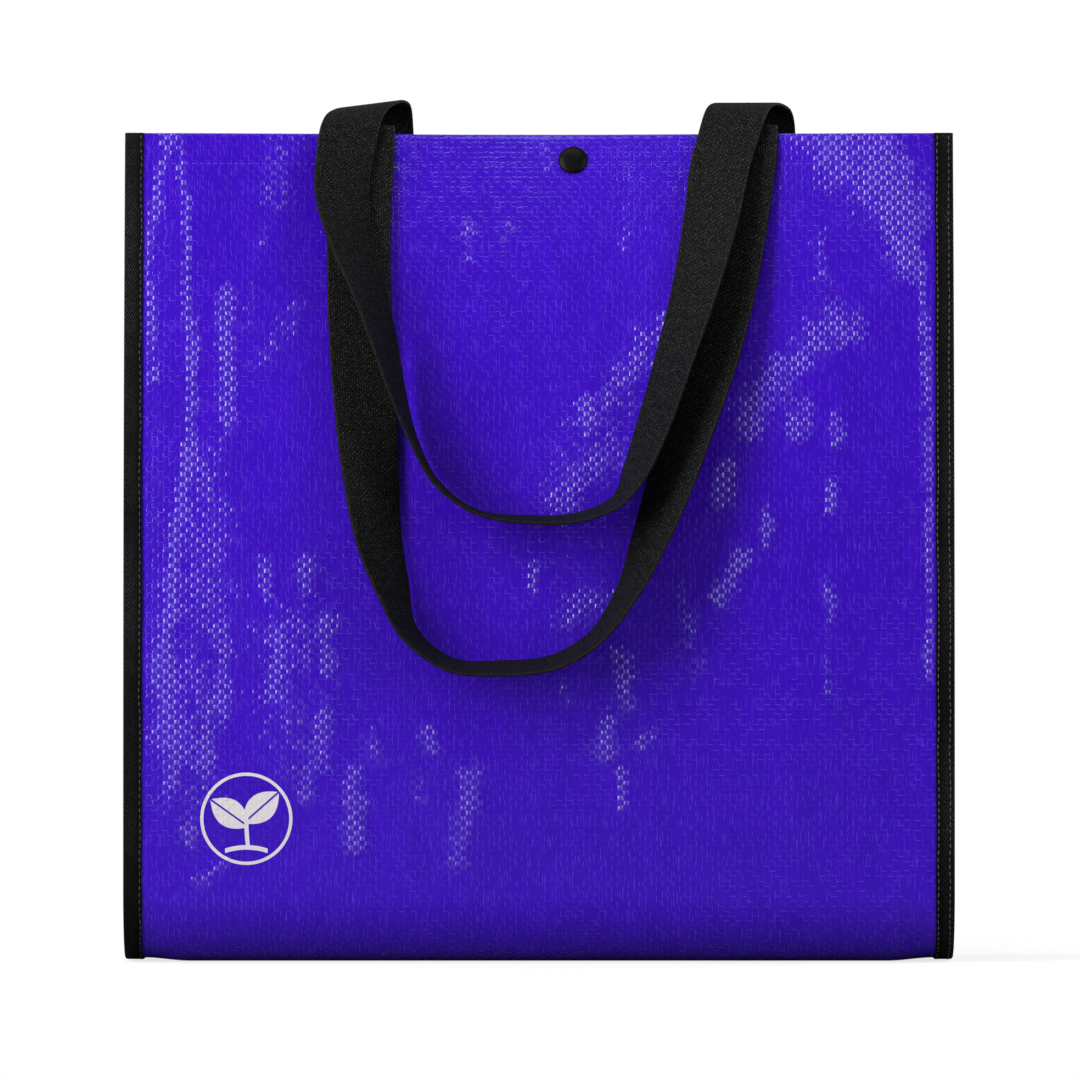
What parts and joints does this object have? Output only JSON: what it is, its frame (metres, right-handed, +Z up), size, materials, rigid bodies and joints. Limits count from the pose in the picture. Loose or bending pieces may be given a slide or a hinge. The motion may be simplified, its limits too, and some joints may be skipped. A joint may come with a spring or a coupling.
{
  "type": "woven shopping bag",
  "caption": "Square reusable shopping bag of laminated woven tape with folded side gussets, bound seams, webbing handles and a snap.",
  "frame": {"origin": "middle of the flat base, on the surface it stands on", "axes": "+Z up, -Y the front panel that the handles hang over, X across the width"},
  "size_m": [0.4, 0.1887, 0.4177],
  "materials": {
    "laminate": "glossy clear laminate over violet woven polypropylene tape",
    "binding": "matt black woven binding tape",
    "webbing": "black woven polypropylene webbing",
    "snap": "satin black moulded plastic"
  },
  "bodies": {
    "root": {"body": "laminate", "gusset_left": "laminate", "gusset_right": "laminate", "binding_left": "binding", "binding_right": "binding", "handle_front": "webbing", "handle_back": "webbing", "snap_cap_front": "snap", "snap_stud": "snap", "snap_cap_back": "snap", "snap_socket": "snap"}
  },
  "joints": []
}
